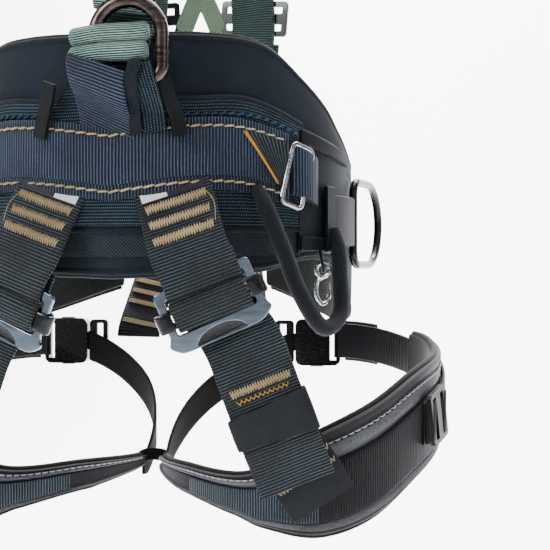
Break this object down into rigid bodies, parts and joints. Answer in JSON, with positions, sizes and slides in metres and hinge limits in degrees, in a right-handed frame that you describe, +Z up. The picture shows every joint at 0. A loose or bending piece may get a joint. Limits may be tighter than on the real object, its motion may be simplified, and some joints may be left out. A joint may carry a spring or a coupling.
{
  "type": "tree climbing saddle",
  "caption": "Arborist climbing saddle with a padded waist belt, two padded leg loops, risers with plate adjusters, quick-release buckles, rings and green shoulder straps.",
  "frame": {"origin": "middle of the waist opening, level with the lower edge of the waist pad at the back", "axes": "+X to the wearer's right, +Y forward, +Z up"},
  "size_m": [0.3788, 0.296, 0.6991],
  "materials": {
    "pad_fabric": "matte woven",
    "mesh_fabric": "matte mesh",
    "black_webbing": "satin woven webbing",
    "green_webbing": "matte ribbed webbing",
    "coated_fabric": "satin",
    "leg_pad_fabric": "matte",
    "elastic": "matte elastic",
    "bronze_metal": "polished bronze-brown",
    "black_metal": "gloss black",
    "grey_metal": "satin",
    "chrome": "polished",
    "brass": "satin brass",
    "black_plastic": "matte",
    "braided_cord": "braided sleeve"
  },
  "bodies": {
    "root": {"waist_pad": "pad_fabric", "belt_sleeve": "mesh_fabric", "rear_tongue": "mesh_fabric", "belt_webbing": "black_webbing", "rear_ring_loop": "black_webbing", "front_belt_right": "black_webbing", "front_belt_left": "black_webbing", "riser_upper_right": "black_webbing", "riser_upper_left": "black_webbing", "riser_lower_right": "black_webbing", "riser_lower_left": "black_webbing", "leg_webbing_right": "black_webbing", "leg_webbing_left": "black_webbing", "leg_strap_right": "black_webbing", "leg_strap_left": "black_webbing", "crotch_strap_right": "black_webbing", "crotch_strap_left": "black_webbing", "front_riser_right": "black_webbing", "front_riser_left": "black_webbing", "back_strap": "green_webbing", "shoulder_strap_right": "green_webbing", "shoulder_strap_left": "green_webbing", "front_strap_right": "green_webbing", "front_strap_left": "green_webbing", "hip_panel_right": "coated_fabric", "hip_panel_left": "coated_fabric", "leg_pad_right": "leg_pad_fabric", "leg_pad_left": "leg_pad_fabric", "leg_right_buckle_shell": "black_metal", "leg_left_buckle_shell": "black_metal", "waist_buckle_shell": "black_metal", "adjuster_frame_right": "grey_metal", "adjuster_frame_left": "grey_metal", "strap_adjuster_right": "chrome", "strap_adjuster_left": "chrome", "gear_loop_right": "braided_cord", "gear_loop_left": "braided_cord"},
    "rear_ring": {"rear_ring": "bronze_metal"},
    "ventral_ring": {"ventral_ring": "grey_metal"},
    "hip_ring_right": {"hip_ring_right": "black_metal"},
    "belt_slider_right": {"belt_slider_right": "chrome"},
    "adjuster_plate_right": {"adjuster_plate_right": "grey_metal"},
    "riser_keeper_right": {"riser_keeper_right": "elastic"},
    "triglide_right": {"triglide_right": "black_plastic"},
    "hip_ring_left": {"hip_ring_left": "black_metal"},
    "belt_slider_left": {"belt_slider_left": "chrome"},
    "adjuster_plate_left": {"adjuster_plate_left": "grey_metal"},
    "riser_keeper_left": {"riser_keeper_left": "elastic"},
    "triglide_left": {"triglide_left": "black_plastic"},
    "leg_right_buckle_tongue": {"leg_right_buckle_tongue": "grey_metal"},
    "leg_right_clip_upper": {"leg_right_clip_upper": "brass"},
    "leg_right_clip_lower": {"leg_right_clip_lower": "brass"},
    "leg_left_buckle_tongue": {"leg_left_buckle_tongue": "grey_metal"},
    "leg_left_clip_upper": {"leg_left_clip_upper": "brass"},
    "leg_left_clip_lower": {"leg_left_clip_lower": "brass"},
    "waist_buckle_tongue": {"waist_buckle_tongue": "grey_metal"},
    "waist_clip_upper": {"waist_clip_upper": "brass"},
    "waist_clip_lower": {"waist_clip_lower": "brass"},
    "snap_gate": {"snap_gate": "chrome"},
    "snap_hook": {"snap_hook": "chrome"}
  },
  "joints": [
    {"name": "rear_ring_tilt", "type": "hinge", "parent": "root", "child": "rear_ring", "pos_m": [0.0136, -0.142, 0.108], "axis": [1, 0, 0], "range_deg": [-4, 4]},
    {"name": "ventral_ring_swing", "type": "hinge", "parent": "root", "child": "ventral_ring", "pos_m": [0, 0.139, 0.031], "axis": [1, 0, 0], "range_deg": [0, 80]},
    {"name": "hip_ring_right_swing", "type": "hinge", "parent": "root", "child": "hip_ring_right", "pos_m": [0.1294, -0.02415, 0.033], "axis": [0, 0, 1], "range_deg": [-75, 4]},
    {"name": "belt_slider_right_tilt", "type": "hinge", "parent": "root", "child": "belt_slider_right", "pos_m": [0.10619, -0.0827, 0.05582], "axis": [0.1777, 0.2061, 0.9623], "range_deg": [0, 12]},
    {"name": "adjuster_plate_right_tilt", "type": "hinge", "parent": "root", "child": "adjuster_plate_right", "pos_m": [0.05982, -0.13244, -0.01641], "axis": [0.9272, 0.0927, 0.3629], "range_deg": [0, 5]},
    {"name": "riser_keeper_right_slide", "type": "slide", "parent": "root", "child": "riser_keeper_right", "axis": [0.4174, 0.1391, -0.898], "range_m": [-0.005, 0]},
    {"name": "triglide_right_slide", "type": "slide", "parent": "root", "child": "triglide_right", "axis": [0.3283, 0.9059, 0.2674], "range_m": [-0.005, 0.005]},
    {"name": "hip_ring_left_swing", "type": "hinge", "parent": "root", "child": "hip_ring_left", "pos_m": [-0.1294, -0.02415, 0.033], "axis": [0, 0, -1], "range_deg": [-75, 4]},
    {"name": "belt_slider_left_tilt", "type": "hinge", "parent": "root", "child": "belt_slider_left", "pos_m": [-0.10619, -0.0827, 0.05582], "axis": [0.1777, -0.2061, -0.9623], "range_deg": [0, 12]},
    {"name": "adjuster_plate_left_tilt", "type": "hinge", "parent": "root", "child": "adjuster_plate_left", "pos_m": [-0.05982, -0.13244, -0.01641], "axis": [0.9272, -0.0927, -0.3629], "range_deg": [0, 5]},
    {"name": "riser_keeper_left_slide", "type": "slide", "parent": "root", "child": "riser_keeper_left", "axis": [-0.4174, 0.1391, -0.898], "range_m": [-0.005, 0]},
    {"name": "triglide_left_slide", "type": "slide", "parent": "root", "child": "triglide_left", "axis": [-0.3283, 0.9059, 0.2674], "range_m": [-0.005, 0.005]},
    {"name": "leg_right_tongue_slide", "type": "slide", "parent": "root", "child": "leg_right_buckle_tongue", "axis": [-0.9998, -0.0195, 0], "range_m": [0, 0.012]},
    {"name": "leg_right_clip_upper_press", "type": "slide", "parent": "root", "child": "leg_right_clip_upper", "axis": [0, 0, -1], "range_m": [0, 0.002], "stiffness_N_per_m": 400},
    {"name": "leg_right_clip_lower_press", "type": "slide", "parent": "root", "child": "leg_right_clip_lower", "axis": [0, 0, 1], "range_m": [0, 0.002], "stiffness_N_per_m": 400},
    {"name": "leg_left_tongue_slide", "type": "slide", "parent": "root", "child": "leg_left_buckle_tongue", "axis": [0.9998, -0.0195, 0], "range_m": [0, 0.012]},
    {"name": "leg_left_clip_upper_press", "type": "slide", "parent": "root", "child": "leg_left_clip_upper", "axis": [0, 0, -1], "range_m": [0, 0.002], "stiffness_N_per_m": 400},
    {"name": "leg_left_clip_lower_press", "type": "slide", "parent": "root", "child": "leg_left_clip_lower", "axis": [0, 0, 1], "range_m": [0, 0.002], "stiffness_N_per_m": 400},
    {"name": "waist_tongue_slide", "type": "slide", "parent": "root", "child": "waist_buckle_tongue", "axis": [-1, 0, 0], "range_m": [0, 0.012]},
    {"name": "waist_clip_upper_press", "type": "slide", "parent": "root", "child": "waist_clip_upper", "axis": [0, 0, -1], "range_m": [0, 0.002], "stiffness_N_per_m": 400},
    {"name": "waist_clip_lower_press", "type": "slide", "parent": "root", "child": "waist_clip_lower", "axis": [0, 0, 1], "range_m": [0, 0.002], "stiffness_N_per_m": 400},
    {"name": "snap_hook_swing", "type": "hinge", "parent": "root", "child": "snap_hook", "pos_m": [0.114, -0.064, 0.003], "axis": [0.4575, 0.8892, 0], "range_deg": [-6, 20]},
    {"name": "snap_gate_open", "type": "hinge", "parent": "snap_hook", "child": "snap_gate", "pos_m": [0.1176, -0.064, -0.0053], "axis": [0, 1, 0], "range_deg": [0, 25], "stiffness_Nm_per_rad": 0.002}
  ]
}
